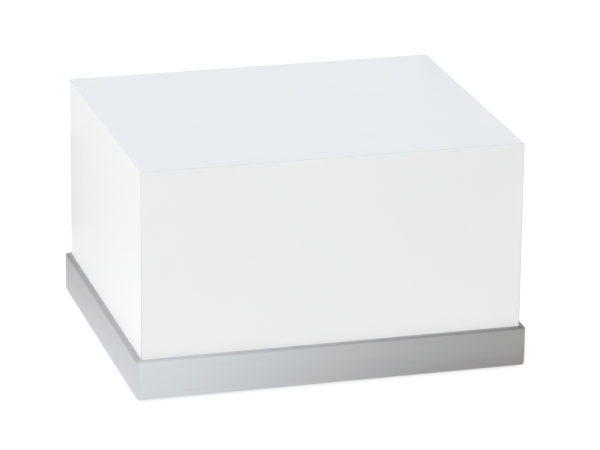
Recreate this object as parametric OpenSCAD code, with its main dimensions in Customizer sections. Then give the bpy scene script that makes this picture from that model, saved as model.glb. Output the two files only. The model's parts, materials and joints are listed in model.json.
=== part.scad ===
// Display riser: a white box of five mitred panels on a folded metal base.
// Millimetres, +Z up, front towards -Y. The origin is at the middle of the
// footprint, on the surface that the feet stand on.

/* [Overall] */
// Length of the metal base, along X
base_len = 305; // [220:1:600]
// Depth of the metal base, along Y
base_dep = 254; // [180:1:500]
// Height of the metal base, without its feet
tray_h = 31; // [20:0.5:60]
// Height of the white box above the base
cover_h = 146.5; // [60:0.5:400]
// Flat ledge that the base shows all round the box
ledge = 4.5; // [3:0.25:15]

/* [White panels] */
// Thickness of the panels
panel_t = 5; // [3:0.5:10]
// Chamfer along every edge where two panels meet
edge_ease = 0.5; // [0.2:0.1:1.2]

/* [Base tray] */
// Thickness of the sheet
sheet_t = 1.2; // [0.8:0.1:2.5]
// Inside radius of the folds along the deck and the flanges
fold_in_r = 0.8; // [0.4:0.1:1.8]
// Inside radius of the welded vertical corners
corner_in_r = 1.8; // [0.8:0.1:8]
// Width of the return flanges, from the outer face
flange_w = 20; // [18:0.5:40]
// Width of the slot between two flanges at a corner
mitre_slot = 1; // [0.5:0.1:3]
// Radius of the relief hole at the slot's outer end
relief_r = 1.5; // [1:0.1:2.5]
// Metal left between the relief hole and the rounded corner
relief_land = 2.5; // [1:0.5:6]

/* [Corner blocks] */
// Length and width of a block
block_w = 34; // [24:1:60]
// Height of a block
block_h = 20; // [16:1:60]
// Chamfer of the block's edge that sits in the corner of the box
block_relief = 1.5; // [0.5:0.1:4]

/* [Fixings] */
// Thread diameter of the screws
screw_d = 4; // [3:0.5:6]
// Length of a screw below its head
screw_len = 12; // [8:1:16]
// Diameter of a screw head
head_d = 7.6; // [6:0.1:12]
// Height of a screw head
head_h = 2.2; // [1.5:0.1:4]
// Hexagon socket, across its corners
socket_d = 2.9; // [1.5:0.1:5]
// Depth of the socket
socket_h = 1.3; // [0.6:0.1:2]
// Radial clearance of a screw in the deck
deck_clear = 0.25; // [0.1:0.05:1]
// Outer diameter of a washer
washer_d = 9; // [8:0.5:16]
// Thickness of a washer
washer_t = 0.8; // [0.4:0.1:2]
// Radial clearance of a screw in its washer
washer_clear = 0.15; // [0.05:0.05:0.5]
// Wall of a threaded insert
insert_wall = 0.8; // [0.5:0.1:2]
// Length of a threaded insert
insert_len = 8; // [5:0.5:12]
// Radial clearance of a screw in its insert
thread_clear = 0.05; // [0.02:0.01:0.2]
// Radial clearance of an insert in its block
insert_clear = 0.05; // [0.02:0.01:0.2]
// Depth of a groove in the insert's knurled wall
groove_d = 0.3; // [0.1:0.05:0.45]
// Free depth of the hole beyond the screw's end
tip_room = 2; // [0.5:0.5:4]

/* [Feet] */
// Height of the base above the surface
foot_stand = 1.5; // [1:0.1:6]
// Diameter of a foot
foot_d = 12; // [9:0.5:15]
// Radius of the foot's lower rim
foot_rim_r = 0.6; // [0.2:0.1:1]
// Diameter of the foot's neck
neck_d = 6; // [4:0.5:7]
// Radial clearance of the neck in the flange
neck_clear = 0.2; // [0.1:0.05:0.5]
// Diameter of the foot's barb, where it grips the flange
barb_d = 8; // [7.5:0.1:9]
// Diameter of the barb's tip
barb_tip_d = 4; // [2:0.5:6]
// Height of the barb
barb_h = 5; // [3:0.5:8]
// Distance of a foot from the side of the base, along X
foot_inset = 32; // [26:1:80]

/* [Hidden] */

$fn = 64;
// Cutting shapes run past the faces that they cut by this much
past = 1;

// Levels
flange_z = foot_stand;
deck_top = flange_z + tray_h;
deck_under = deck_top - sheet_t;

// Outer size of the white box
cover_len = base_len - 2 * ledge;
cover_dep = base_dep - 2 * ledge;

// Outer radii of the tray
fold_r = fold_in_r + sheet_t;
corner_r = corner_in_r + sheet_t;

// Distance of a relief hole's centre from both outer faces
relief_inset = corner_r + relief_land + relief_r;
// Length of a mitre slot, from there to just past the flanges' inner corner
slot_len = (flange_w - relief_inset) * sqrt(2) + mitre_slot / 2 + past;

// Centres of the screws, in the middle of the blocks
screw_x = cover_len / 2 - panel_t - block_w / 2;
screw_y = cover_dep / 2 - panel_t - block_w / 2;

// Centres of the feet, in the middle of the flat flange
foot_x = base_len / 2 - foot_inset;
foot_y = base_dep / 2 - (fold_r + flange_w) / 2;

// How far a screw reaches above the deck
screw_reach = screw_len - washer_t - sheet_t;

white = [0.93, 0.93, 0.93];
steel = [0.74, 0.75, 0.76];
brass = [0.78, 0.63, 0.33];
block_grey = [0.80, 0.80, 0.80];
rubber_black = [0.10, 0.10, 0.10];

// Repeats its children at the four corners, by centre distances in X and Y
module at_corners(x, y) {
    for (sx = [-1, 1], sy = [-1, 1]) translate([sx * x, sy * y, 0]) children();
}

// Stands a profile drawn in X and Y upright, in X and Z, and draws it out
// along Y, evenly to both sides
module along_y(length) {
    rotate([90, 0, 0]) linear_extrude(height = length, center = true) children();
}

// The same for a profile in Y and Z, drawn out along X
module along_x(length) {
    rotate([90, 0, 90]) linear_extrude(height = length, center = true) children();
}

// White panels

// Section across a panel with a mitre at both ends. The outer face lies on
// y = 0 and the inner face on y = panel_t.
module two_mitres(width) {
    half = width / 2;
    polygon([
        [-half + edge_ease, 0], [half - edge_ease, 0],
        [half - edge_ease / 2, edge_ease / 2], [half - panel_t, panel_t],
        [-half + panel_t, panel_t], [-half + edge_ease / 2, edge_ease / 2]
    ]);
}

// Upright section of a side panel: a mitre at the top and a square foot
module one_mitre() {
    polygon([
        [0, 0], [0, cover_h - edge_ease],
        [edge_ease / 2, cover_h - edge_ease / 2], [panel_t, cover_h - panel_t],
        [panel_t, 0]
    ]);
}

// Side panel with its outer face on y = 0, facing -Y, and its foot on z = 0
module side_panel(width) {
    color(white) intersection() {
        linear_extrude(height = cover_h) two_mitres(width);
        along_x(width) one_mitre();
    }
}

module top_panel() {
    color(white) translate([0, 0, deck_top + cover_h]) mirror([0, 0, 1])
        intersection() {
            along_y(cover_dep) two_mitres(cover_len);
            along_x(cover_len) two_mitres(cover_dep);
        }
}

module front_panel() {
    translate([0, -cover_dep / 2, deck_top]) side_panel(cover_len);
}

module back_panel() {
    translate([0, cover_dep / 2, deck_top]) rotate([0, 0, 180]) side_panel(cover_len);
}

module left_panel() {
    translate([-cover_len / 2, 0, deck_top]) rotate([0, 0, -90]) side_panel(cover_dep);
}

module right_panel() {
    translate([cover_len / 2, 0, deck_top]) rotate([0, 0, 90]) side_panel(cover_dep);
}

// Corner blocks

// Plan of a block with its centre on the origin. The relieved edge is the one
// towards +X and +Y.
module block_plan() {
    half = block_w / 2;
    polygon([
        [-half, -half], [half, -half], [half, half - block_relief],
        [half - block_relief, half], [-half, half]
    ]);
}

// sx and sy are -1 or 1 and pick the corner
module corner_block(sx, sy) {
    insert_r = screw_d / 2 + thread_clear + insert_wall + insert_clear;
    color(block_grey) translate([sx * screw_x, sy * screw_y, deck_top]) difference() {
        mirror([sx < 0 ? 1 : 0, 0, 0]) mirror([0, sy < 0 ? 1 : 0, 0])
            linear_extrude(height = block_h) block_plan();
        translate([0, 0, -past]) cylinder(r = insert_r, h = past + insert_len);
        translate([0, 0, -past])
            cylinder(r = screw_d / 2 + deck_clear, h = past + screw_reach + tip_room);
    }
}

// Fixings

// Turned section of an insert: three lands with two grooves between them
module insert_section() {
    bore = screw_d / 2 + thread_clear;
    land = insert_len / 5;
    difference() {
        translate([bore, 0]) square([insert_wall, insert_len]);
        for (i = [1, 3])
            translate([bore + insert_wall - groove_d, i * land]) square([groove_d + past, land]);
    }
}

module threaded_inserts() {
    color(brass) at_corners(screw_x, screw_y)
        translate([0, 0, deck_top]) rotate_extrude() insert_section();
}

// Domed head, hanging below z = 0
module screw_head() {
    // Radius of a dome of this height on this width
    dome_r = (pow(head_d / 2, 2) + pow(head_h, 2)) / (2 * head_h);
    intersection() {
        translate([0, 0, dome_r - head_h]) sphere(r = dome_r);
        translate([0, 0, -head_h]) cylinder(d = head_d, h = head_h);
    }
}

module cover_screws() {
    color(steel) at_corners(screw_x, screw_y)
        translate([0, 0, deck_under - washer_t]) {
            difference() {
                screw_head();
                translate([0, 0, -head_h - past])
                    cylinder(d = socket_d, h = past + socket_h, $fn = 6);
            }
            cylinder(d = screw_d, h = screw_len);
        }
}

module screw_washers() {
    color(steel) at_corners(screw_x, screw_y)
        translate([0, 0, deck_under - washer_t]) difference() {
            cylinder(d = washer_d, h = washer_t);
            translate([0, 0, -past])
                cylinder(r = screw_d / 2 + washer_clear, h = washer_t + 2 * past);
        }
}

// Base tray

// Area inside the wall's section, drawn with X inwards from the outer face and
// Y up, with its two outer corners rounded
module section_area(inset, r) {
    intersection() {
        union() {
            translate([inset + r, inset]) square([corner_r, tray_h - 2 * inset]);
            translate([inset, inset + r]) square([corner_r, tray_h - 2 * (inset + r)]);
            for (y = [inset + r, tray_h - inset - r]) translate([inset + r, y]) circle(r = r);
        }
        square([corner_r, tray_h]);
    }
}

// Section of the sheet from the deck's edge down to the flange's edge, as far
// in as the vertical corners reach
module wall_section() {
    difference() {
        section_area(0, fold_r);
        section_area(sheet_t, fold_in_r);
    }
}

// One straight side of the tray, with its outer face on y = 0, facing -Y
module straight_side(length) {
    along_x(length - 2 * corner_r) wall_section();
}

// Vertical corner towards +X and +Y, with its axis on the origin. The square
// keeps the turned section on its own side of the axis.
module round_corner() {
    rotate_extrude(angle = 90) intersection() {
        translate([corner_r, 0]) mirror([1, 0]) wall_section();
        square([corner_r, tray_h]);
    }
}

// Flat part of the return flanges, inside the vertical corners
module flange_ring() {
    difference() {
        square([base_len - 2 * corner_r, base_dep - 2 * corner_r], center = true);
        square([base_len - 2 * flange_w, base_dep - 2 * flange_w], center = true);
        for (sx = [-1, 1], sy = [-1, 1])
            translate([sx * (base_len / 2 - relief_inset), sy * (base_dep / 2 - relief_inset)]) {
                circle(r = relief_r);
                rotate(atan2(-sy, -sx)) translate([0, -mitre_slot / 2])
                    square([slot_len, mitre_slot]);
            }
    }
}

module folded_sheet() {
    for (s = [0, 180]) rotate([0, 0, s]) {
        translate([0, -base_dep / 2, 0]) straight_side(base_len);
        rotate([0, 0, 90]) translate([0, -base_len / 2, 0]) straight_side(base_dep);
        translate([base_len / 2 - corner_r, base_dep / 2 - corner_r, 0]) round_corner();
        translate([-base_len / 2 + corner_r, base_dep / 2 - corner_r, 0])
            rotate([0, 0, 90]) round_corner();
    }
    linear_extrude(height = sheet_t) flange_ring();
    translate([0, 0, tray_h - sheet_t]) linear_extrude(height = sheet_t)
        square([base_len - 2 * corner_r, base_dep - 2 * corner_r], center = true);
}

module base_tray() {
    color(steel) translate([0, 0, flange_z]) difference() {
        folded_sheet();
        at_corners(screw_x, screw_y) translate([0, 0, tray_h - sheet_t - past])
            cylinder(r = screw_d / 2 + deck_clear, h = sheet_t + 2 * past);
        at_corners(foot_x, foot_y) translate([0, 0, -past])
            cylinder(r = neck_d / 2 + neck_clear, h = sheet_t + 2 * past);
    }
}

// Feet

// Turned section of a foot, from the surface up: head, neck and barb
module foot_section() {
    difference() {
        square([foot_d / 2, foot_stand]);
        translate([foot_d / 2 - foot_rim_r, -past]) square([foot_rim_r + past, past + foot_rim_r]);
    }
    intersection() {
        translate([foot_d / 2 - foot_rim_r, foot_rim_r]) circle(r = foot_rim_r);
        square([foot_d / 2, foot_stand]);
    }
    translate([0, foot_stand]) square([neck_d / 2, sheet_t]);
    translate([0, foot_stand + sheet_t]) polygon([
        [0, 0], [barb_d / 2, 0], [barb_tip_d / 2, barb_h], [0, barb_h]
    ]);
}

// sx and sy are -1 or 1 and pick the corner
module foot(sx, sy) {
    color(rubber_black) translate([sx * foot_x, sy * foot_y, 0]) rotate_extrude() foot_section();
}

top_panel();
front_panel();
back_panel();
left_panel();
right_panel();
corner_block(-1, -1);  // corner_block_front_left
corner_block(1, -1);  // corner_block_front_right
corner_block(-1, 1);  // corner_block_back_left
corner_block(1, 1);  // corner_block_back_right
threaded_inserts();
base_tray();
cover_screws();
screw_washers();
foot(-1, -1);  // foot_front_left
foot(1, -1);  // foot_front_right
foot(-1, 1);  // foot_back_left
foot(1, 1);  // foot_back_right
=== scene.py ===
import json
import math

import bpy
from mathutils import Matrix, Vector

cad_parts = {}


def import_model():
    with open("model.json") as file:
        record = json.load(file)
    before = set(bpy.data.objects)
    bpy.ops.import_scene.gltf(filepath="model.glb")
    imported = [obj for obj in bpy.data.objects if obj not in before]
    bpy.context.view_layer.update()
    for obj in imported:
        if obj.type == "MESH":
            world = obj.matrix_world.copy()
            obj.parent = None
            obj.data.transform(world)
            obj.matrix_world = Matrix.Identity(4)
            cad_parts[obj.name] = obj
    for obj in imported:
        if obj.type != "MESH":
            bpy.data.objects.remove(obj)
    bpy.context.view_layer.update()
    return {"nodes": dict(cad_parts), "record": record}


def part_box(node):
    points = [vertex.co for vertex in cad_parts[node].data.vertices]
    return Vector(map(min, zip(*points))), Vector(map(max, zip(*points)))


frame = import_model()

MM = 0.001

# What the frame says of the object, in metres
NODES = frame["nodes"]
HALF_LEN, HALF_DEP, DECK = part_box("base_tray")[1]
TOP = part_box("top_panel")[1].z
SCREWS_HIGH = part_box("screw_washers")[1]
WASHER_R = 4.5 * MM
SCREW_X, SCREW_Y = SCREWS_HIGH.x - WASHER_R, SCREWS_HIGH.y - WASHER_R

# The camera looks at the target from this far, with its top turned a little to the left
LENS_MM = 216.92
SENSOR_MM = 36.0
AZIMUTH = math.radians(-15.803)
ELEVATION = math.radians(18.938)
ROLL = math.radians(0.595)
DISTANCE = 2.8196
TARGET = Vector((0.00799, 0.0, 0.08466))
CLIP_NEAR, CLIP_FAR = 0.1, 60.0

# Colours of the object, linear: each pair is what its noise runs between
PANEL = ((0.850, 0.848, 0.844, 1), (0.865, 0.862, 0.855, 1))
# Painted shade on the panels' eased edges: its grey at the foot and at the top
PANEL_EDGE_SHADE_FOOT = (0.56, 0.56, 0.56, 1)
PANEL_EDGE_SHADE_TOP = (0.70, 0.70, 0.70, 1)
STAINLESS = ((0.655, 0.655, 0.655, 1), (0.690, 0.690, 0.690, 1))
BLOCK = ((0.56, 0.56, 0.55, 1), (0.64, 0.64, 0.63, 1))
BRASS = ((0.62, 0.42, 0.17, 1), (0.74, 0.53, 0.24, 1))
SCREW_STEEL = ((0.50, 0.50, 0.51, 1), (0.60, 0.60, 0.61, 1))
RUBBER = ((0.012, 0.012, 0.013, 1), (0.030, 0.030, 0.031, 1))

# Grain of the stainless sheet, in cells per metre, and the share of them that its streaks have
GRAIN_ALONG, GRAIN_ACROSS = 22.0, 2600.0
STREAK_SHARE = 0.12

# Step between the rings that a lathe leaves
RING_STEP = 0.12 * MM

# World: its light on the object, and its white where it is seen
ROOM_LIGHT = 0.67
ROOM_WHITE = 1.0
NO_TINT = (1, 1, 1, 1)

# Floor: how much light it sends back and adds for the object, and how much where it is seen
FLOOR_HALF = 12.0
FLOOR_BACK, FLOOR_LIGHT = 0.20, 0.27
FLOOR_SHADE, FLOOR_GLOW = 0.30, 0.78

# Reflections: glows from bright to dark
GLARE = (1.54, 1.60, 1.65, 1)
COOL_BRIGHT = (1.27, 1.38, 1.44, 1)
PALE = (1.29, 1.35, 1.37, 1)
COOL = (1.18, 1.25, 1.27, 1)
WHITE = (1.08, 1.09, 1.09, 1)
MID = (0.84, 0.86, 0.88, 1)
WARM = (0.83, 0.80, 0.81, 1)
LOW = (0.62, 0.59, 0.58, 1)
GREY = (0.34, 0.33, 0.32, 1)
DARK = (0.03, 0.03, 0.03, 1)

# Arch over the object, with the angle at which each of its three rows of colour is full
ARCH_R = 0.6
ARCH_HALF = 1.0
ARCH_STEPS = 32
ARCH_BACK, ARCH_TOP, ARCH_FRONT = 0.15 * math.pi, 0.5 * math.pi, 0.85 * math.pi

# Height of the cards that lie on the floor
CARD_Z = 0.2 * MM


class Nodes:
    """A node tree that short calls fill."""

    def __init__(self, tree):
        tree.nodes.clear()
        self.nodes, self.links = tree.nodes, tree.links

    def put(self, socket, value):
        """Gives a socket a number or a colour, or links it to another node's output."""
        if isinstance(value, bpy.types.NodeSocket):
            self.links.new(value, socket)
        else:
            socket.default_value = value

    def add(self, kind, *inputs, **settings):
        """Adds a node, sets it up and fills its inputs in order."""
        node = self.nodes.new("ShaderNode" + kind)
        for name, value in settings.items():
            setattr(node, name, value)
        for socket, value in zip(node.inputs, inputs):
            self.put(socket, value)
        return node

    def math(self, operation, *inputs):
        return self.add("Math", *inputs, operation=operation).outputs[0]

    def vector(self, operation, *inputs):
        return self.add("VectorMath", *inputs, operation=operation).outputs["Vector"]

    def parts(self, vector):
        """The three parts of a vector."""
        return self.add("SeparateXYZ", vector).outputs

    def place(self):
        """The point on the surface, in metres in the object's own frame."""
        return self.add("TexCoord").outputs["Object"]

    def noise(self, point, per_metre, detail=2.0, roughness=0.5):
        """Smooth noise from 0 to 1, with about per_metre cells in a metre. A triple sets each axis."""
        if isinstance(per_metre, tuple):
            point = self.vector("MULTIPLY", point, per_metre)
            per_metre = 1.0
        node = self.add("TexNoise", point)
        self.put(node.inputs["Scale"], per_metre)
        self.put(node.inputs["Detail"], detail)
        self.put(node.inputs["Roughness"], roughness)
        return node.outputs["Fac"]

    def span(self, value, from_low, from_high, to_low, to_high):
        """Maps one range to another and stays inside it."""
        return self.add("MapRange", value, from_low, from_high, to_low, to_high).outputs[0]

    def spread(self, noise, low, high):
        """Spreads noise, which mostly lies between 0.3 and 0.7, over another range."""
        return self.span(noise, 0.3, 0.7, low, high)

    def ease(self, value, start, end):
        """Runs from 0 at start to 1 at end, with soft ends."""
        return self.add("MapRange", value, start, end, interpolation_type="SMOOTHSTEP").outputs[0]

    def mix(self, kind, share, low, high):
        """What lies between low and high, of the kind RGBA for colours or VECTOR for vectors."""
        node = self.add("Mix", share, data_type=kind)
        ends = [socket for socket in node.inputs if socket.type == kind][-2:]
        self.put(ends[0], low)
        self.put(ends[1], high)
        return next(socket for socket in node.outputs if socket.type == kind)

    def blend(self, share, low, high):
        """A colour between low and high."""
        return self.mix("RGBA", share, low, high)

    def pick(self, share, low, high):
        """The vector low where share is 0 and high where it is 1."""
        return self.mix("VECTOR", share, low, high)

    def bump(self, height, depth, strength=1.0):
        """A normal from a height that runs from 0 to 1 over depth metres."""
        node = self.add("Bump")
        self.put(node.inputs["Strength"], strength)
        self.put(node.inputs["Distance"], depth)
        self.put(node.inputs["Height"], height)
        return node.outputs["Normal"]

    def seen(self):
        """1 for rays that show what they hit: camera rays, and rays in gloss and glass."""
        path = self.add("LightPath").outputs
        seen = self.math("MAXIMUM", path["Is Camera Ray"], path["Is Glossy Ray"])
        return self.math("MAXIMUM", seen, path["Is Transmission Ray"])


class Material(Nodes):
    """A material with one shader, whose sockets its user sets by name."""

    def __init__(self, name, shader="BsdfPrincipled"):
        self.material = bpy.data.materials.new(name)
        self.material.use_nodes = True
        super().__init__(self.material.node_tree)
        self.shader = self.add(shader)
        self.put(self.add("OutputMaterial").inputs["Surface"], self.shader.outputs[0])

    def set(self, **values):
        """Sets the shader's own sockets, named with _ for a blank."""
        for name, value in values.items():
            self.put(self.shader.inputs[name.replace("_", " ")], value)


def white_panel():
    """Satin white sheet: faint clouding, a fine moulded tooth, and painted shade on the eased edges,
    darkest at the foot.
    """
    m = Material("white_panel_satin")
    point = m.place()

    # The largest part of the normal is 1 on a face and falls on an eased edge
    on_face, on_edge = 0.95, 0.85
    normal = m.parts(m.add("NewGeometry").outputs["True Normal"])
    steepest = m.math("MAXIMUM", m.math("ABSOLUTE", normal[0]), m.math("ABSOLUTE", normal[1]))
    steepest = m.math("MAXIMUM", steepest, m.math("ABSOLUTE", normal[2]))
    # Painted shade: the eased edges are painted grey, darker towards the foot, and they are also a little
    # rougher
    shaded_matt_edge = m.span(steepest, on_face, on_edge, 0, 1)
    height = m.span(m.parts(point)[2], DECK, TOP, 0, 1)

    cloud = m.spread(m.noise(point, per_metre=11, detail=3), 0, 1)
    rub = m.noise(point, per_metre=38, detail=4, roughness=0.6)
    tooth = m.noise(point, per_metre=1400)
    m.set(
        Base_Color=m.blend(shaded_matt_edge, m.blend(cloud, *PANEL), m.blend(height, PANEL_EDGE_SHADE_FOOT, PANEL_EDGE_SHADE_TOP)),
        Roughness=m.math("ADD", m.spread(rub, 0.40, 0.47), m.math("MULTIPLY", shaded_matt_edge, 0.1)),
        IOR=1.49,
        Normal=m.bump(tooth, depth=0.012 * MM),
    )
    return m.material


def side_of(m, point):
    """1 on the deck's and the flanges' strips along the left and right sides, 0 along front and back."""
    at = m.parts(point)
    from_side = m.math("SUBTRACT", HALF_LEN, m.math("ABSOLUTE", at[0]))
    from_front = m.math("SUBTRACT", HALF_DEP, m.math("ABSOLUTE", at[1]))
    return m.math("LESS_THAN", from_side, from_front)


def brushed_steel():
    """Stainless sheet with a fine grain that runs along each side and round the corners."""
    m = Material("brushed_stainless_grain")
    point = m.place()
    side = side_of(m, point)
    normal = m.add("NewGeometry").outputs["Normal"]
    rise = m.parts(normal)[2]

    # Where the normal's upright part passes these, the sheet counts as lying, and as quite level
    lying, level = 0.7, 0.999
    upright = m.math("ABSOLUTE", rise)

    wall_scale = (GRAIN_ALONG, GRAIN_ALONG, GRAIN_ACROSS)
    front_scale = (GRAIN_ALONG, GRAIN_ACROSS, GRAIN_ALONG)
    side_scale = (GRAIN_ACROSS, GRAIN_ALONG, GRAIN_ALONG)
    flat_scale = m.pick(side, front_scale, side_scale)
    scale = m.pick(m.math("GREATER_THAN", upright, lying), wall_scale, flat_scale)
    grain_point = m.vector("MULTIPLY", point, scale)
    grain = m.noise(grain_point, per_metre=1.0, detail=3, roughness=0.6)
    streak = m.noise(grain_point, per_metre=(STREAK_SHARE, STREAK_SHARE, STREAK_SHARE))
    tone = m.math("ADD", m.math("MULTIPLY", grain, 0.6), m.math("MULTIPLY", streak, 0.4))

    # The gloss stretches across the grain: upright on the walls, outward on the flats
    wall_tangent = m.vector("SUBTRACT", (0, 0, 1), m.vector("MULTIPLY", normal, rise))
    flat_tangent = m.pick(side, (0, 1, 0), (1, 0, 0))
    tangent = m.pick(m.math("GREATER_THAN", upright, level), wall_tangent, flat_tangent)
    m.set(
        Base_Color=m.blend(m.span(tone, 0.35, 0.65, 0, 1), *STAINLESS),
        Metallic=1.0,
        Roughness=m.spread(streak, 0.47, 0.53),
        Anisotropic=0.95,
        Tangent=m.vector("NORMALIZE", tangent),
        Normal=m.bump(grain, depth=0.003 * MM, strength=0.5),
    )
    return m.material


def from_axis(m, point):
    """The point as seen from the nearest of the four screws' axes."""
    at = m.parts(point)
    x = m.math("SUBTRACT", m.math("ABSOLUTE", at[0]), SCREW_X)
    y = m.math("SUBTRACT", m.math("ABSOLUTE", at[1]), SCREW_Y)
    return m.add("CombineXYZ", x, y, at[2]).outputs[0]


def turned_metal(name, low, high, roughness):
    """Metal with the fine rings that a lathe leaves round each screw's axis."""
    m = Material(name)
    point = from_axis(m, m.place())
    at = m.parts(point)
    radius = m.math("SQRT", m.math("ADD", m.math("POWER", at[0], 2), m.math("POWER", at[1], 2)))
    rings = m.math("SINE", m.math("MULTIPLY", m.math("ADD", radius, at[2]), 2 * math.pi / RING_STEP))
    tarnish = m.noise(point, per_metre=700, detail=3)
    m.set(
        Base_Color=m.blend(m.spread(tarnish, 0, 1), low, high),
        Metallic=1.0,
        Roughness=m.spread(tarnish, roughness, roughness + 0.12),
        Normal=m.bump(m.span(rings, -1, 1, 0, 1), depth=0.002 * MM),
    )
    return m.material


def block_plastic():
    """Sawn plastic block with upright saw marks."""
    m = Material("block_plastic_sawn")
    point = m.place()
    marks = m.noise(point, per_metre=(900, 900, 40))
    cloud = m.noise(point, per_metre=60, detail=3)
    m.set(
        Base_Color=m.blend(cloud, *BLOCK),
        Roughness=m.spread(marks, 0.5, 0.62),
        Normal=m.bump(marks, depth=0.03 * MM),
    )
    return m.material


def black_rubber():
    """Moulded rubber, matt with a faint bloom."""
    m = Material("black_rubber_moulded")
    point = m.place()
    bloom = m.noise(point, per_metre=300, detail=4, roughness=0.6)
    tooth = m.noise(point, per_metre=2200)
    m.set(
        Base_Color=m.blend(m.span(bloom, 0.35, 0.75, 0, 1), *RUBBER),
        Roughness=m.spread(bloom, 0.62, 0.78),
        Normal=m.bump(tooth, depth=0.02 * MM),
    )
    return m.material


def dress():
    """Gives every CAD node its finish."""
    finishes = {
        "white_panel": white_panel(),
        "brushed_stainless": brushed_steel(),
        "block_plastic": block_plastic(),
        "brass": turned_metal("brass_turned", *BRASS, roughness=0.28),
        "fastener_steel": turned_metal("steel_turned", *SCREW_STEEL, roughness=0.26),
        "black_rubber": black_rubber(),
    }
    for part in frame["record"]["subparts"]:
        slots = NODES[part["node"]].data.materials
        slots.clear()
        slots.append(finishes[part["material_slot"]])


def world():
    """Even light from all round, and white where it is seen."""
    studio = bpy.data.worlds.new("studio")
    bpy.context.scene.world = studio
    studio.use_nodes = True
    w = Nodes(studio.node_tree)
    light = w.add("Background", NO_TINT, ROOM_LIGHT)
    white = w.add("Background", NO_TINT, ROOM_WHITE)
    both = w.add("MixShader", w.seen(), light.outputs[0], white.outputs[0])
    w.put(w.add("OutputWorld").inputs["Surface"], both.outputs[0])


def softbox(name, place, size, watts, colour=(1, 1, 1), aim=None):
    """An area lamp that faces along aim, or else the target. Neither camera nor gloss shows it."""
    lamp = bpy.data.lights.new(name, "AREA")
    lamp.shape = "RECTANGLE"
    lamp.size, lamp.size_y = size
    lamp.energy = watts
    lamp.color = colour
    holder = bpy.data.objects.new(name, lamp)
    holder.location = place
    aim = Vector(aim) if aim else TARGET - Vector(place)
    holder.rotation_euler = aim.to_track_quat("-Z", "Y").to_euler()
    holder.visible_camera = False
    holder.visible_glossy = False
    bpy.context.scene.collection.objects.link(holder)


def stage_piece(name, points, faces, material):
    """A mesh of the stage, which isn't part of the object."""
    mesh = bpy.data.meshes.new(name)
    mesh.from_pydata(points, [], faces)
    mesh.materials.append(material)
    piece = bpy.data.objects.new(name, mesh)
    bpy.context.scene.collection.objects.link(piece)
    return piece


def rectangle(name, low, high, material):
    """A stage piece that lies level or stands upright between two opposite corners."""
    (x0, y0, z0), (x1, y1, z1) = low, high
    if z0 == z1:
        points = [(x0, y0, z0), (x1, y0, z0), (x1, y1, z0), (x0, y1, z0)]
    else:
        points = [(x0, y0, z0), (x1, y1, z0), (x1, y1, z1), (x0, y0, z1)]
    return stage_piece(name, points, [(0, 1, 2, 3)], material)


def only_in_gloss(piece):
    """The piece shows in reflections alone: it casts no shadow and lights nothing."""
    piece.visible_camera = False
    piece.visible_diffuse = False
    piece.visible_transmission = False
    piece.visible_volume_scatter = False
    piece.visible_shadow = False


def floor():
    """A white floor that keeps a soft shadow."""
    m = Material("stage_floor", "MixShader")
    pairs = [(FLOOR_BACK, FLOOR_LIGHT), (FLOOR_SHADE, FLOOR_GLOW)]
    m.put(m.shader.inputs[0], m.seen())
    for socket, (share, strength) in zip(m.shader.inputs[1:], pairs):
        diffuse = m.add("BsdfDiffuse", (share, share, share, 1))
        glow = m.add("Emission", NO_TINT, strength)
        m.put(socket, m.add("AddShader", diffuse.outputs[0], glow.outputs[0]).outputs[0])
    h = FLOOR_HALF
    rectangle("stage_floor", (-h, -h, 0), (h, h, 0), m.material)


def along_x(m, left, right=None, start=0.0, end=0.0):
    """A colour that runs from left to right between two places along x, or left all the way."""
    if right is None:
        return left
    return m.blend(m.ease(m.parts(m.place())[0], start, end), left, right)


def arch(back, top, front):
    """Half a tunnel of cloth from back over top to front, each with its row of colours along x."""
    m = Material("reflection_arch", "Emission")
    at = m.parts(m.place())
    angle = m.math("ARCTAN2", at[2], at[1])
    rows = [along_x(m, *row) for row in (back, top, front)]
    upper = m.blend(m.span(angle, ARCH_BACK, ARCH_TOP, 0, 1), rows[0], rows[1])
    m.set(Color=m.blend(m.span(angle, ARCH_TOP, ARCH_FRONT, 0, 1), upper, rows[2]))
    points = []
    for i in range(ARCH_STEPS + 1):
        turn = math.pi * i / ARCH_STEPS
        for x in (-ARCH_HALF, ARCH_HALF):
            points.append((x, ARCH_R * math.cos(turn), ARCH_R * math.sin(turn)))
    faces = [(2 * i, 2 * i + 1, 2 * i + 3, 2 * i + 2) for i in range(ARCH_STEPS)]
    only_in_gloss(stage_piece("reflection_arch", points, faces, m.material))


def faded_card(name, low, high, front, back, start, end):
    """A card whose front row of colours runs into its back one between two places along y."""
    m = Material(name, "Emission")
    y = m.parts(m.place())[1]
    m.set(Color=m.blend(m.ease(y, start, end), along_x(m, *front), along_x(m, *back)))
    only_in_gloss(rectangle(name, low, high, m.material))


def plain_card(name, low, high, colour):
    """A card in one colour."""
    m = Material(name, "Emission")
    m.set(Color=colour)
    only_in_gloss(rectangle(name, low, high, m.material))


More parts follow.
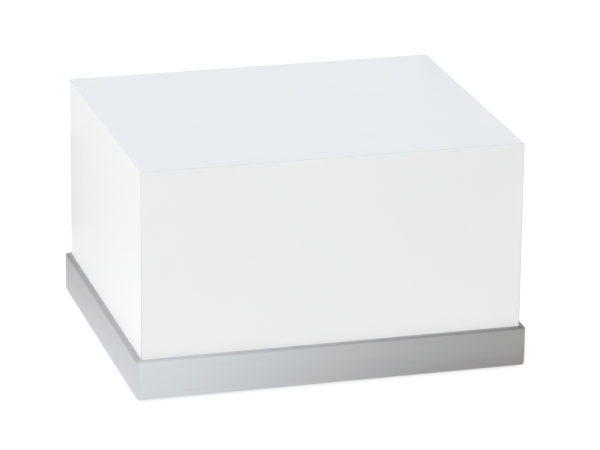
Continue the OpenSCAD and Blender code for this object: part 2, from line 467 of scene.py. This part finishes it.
def camera():
    """The photograph's camera."""
    back = Vector((
        math.sin(AZIMUTH) * math.cos(ELEVATION),
        -math.cos(AZIMUTH) * math.cos(ELEVATION),
        math.sin(ELEVATION),
    ))
    right = Vector((0, 0, 1)).cross(back).normalized()
    up = back.cross(right)
    x_axis = right * math.cos(ROLL) + up * math.sin(ROLL)
    y_axis = up * math.cos(ROLL) - right * math.sin(ROLL)
    turn = Matrix((x_axis, y_axis, back)).transposed()
    data = bpy.data.cameras.new("camera")
    data.lens = LENS_MM
    data.sensor_width = SENSOR_MM
    data.clip_start = CLIP_NEAR
    data.clip_end = CLIP_FAR
    holder = bpy.data.objects.new("camera", data)
    holder.matrix_world = Matrix.Translation(TARGET + back * DISTANCE) @ turn.to_4x4()
    bpy.context.scene.collection.objects.link(holder)
    bpy.context.scene.camera = holder


dress()
floor()
world()

# Lamps, with places and sizes in metres
softbox("key_left", place=(-3.0, -1.2, 0.8), size=(2.2, 2.2), watts=66)
softbox("overhead", place=(0.5, 0.3, 2.2), size=(1.8, 1.8), watts=12, colour=(0.61, 0.80, 1.0))
softbox("front_fill", place=(1.4, -2.5, 0.4), size=(1.6, 1.6), watts=23)
softbox("table_glow", place=(-0.02, -0.17, 0.001), size=(0.36, 0.07), watts=0.013, aim=(0, 0, 1))

# What the metal reflects: a row of colours turns from its left one to its right one between two places
arch(back=(MID, WHITE, -0.10, 0.34), top=(MID, DARK, -0.10, 0.14), front=(GLARE, GREY, -0.10, 0.34))
faded_card("card_front", (-0.5, -0.9, CARD_Z), (0.6, -HALF_DEP, CARD_Z),
           front=(COOL_BRIGHT, WHITE, -0.15, 0.17), back=(COOL, LOW, -0.19, 0.13), start=-0.175, end=-0.13)
faded_card("card_left", (-0.6, -HALF_DEP, CARD_Z), (-HALF_LEN, 0.6, CARD_Z),
           front=(PALE,), back=(WARM,), start=-0.08, end=0.32)
plain_card("card_end", (-ARCH_HALF, -ARCH_R, 0), (-ARCH_HALF, ARCH_R, ARCH_R), COOL_BRIGHT)
plain_card("card_back_left", (-0.165, 0.16, 0.042), (-0.15, 0.16, 0.12), DARK)
plain_card("card_corner", (-0.75, -0.45, 0), (-0.19, -0.45, 0.16), WHITE)
# Painted shade: a dark card under the base stands for the shade beneath it, for the metal's lower fold to
# reflect
plain_card("card_under_shade", (-0.15, -0.125, CARD_Z), (0.15, 0.125, CARD_Z), DARK)
plain_card("card_right", (0.155, 0.15, 0), (0.6, 0.15, 0.2), GREY)

camera()
bpy.context.scene.view_settings.view_transform = "Standard"
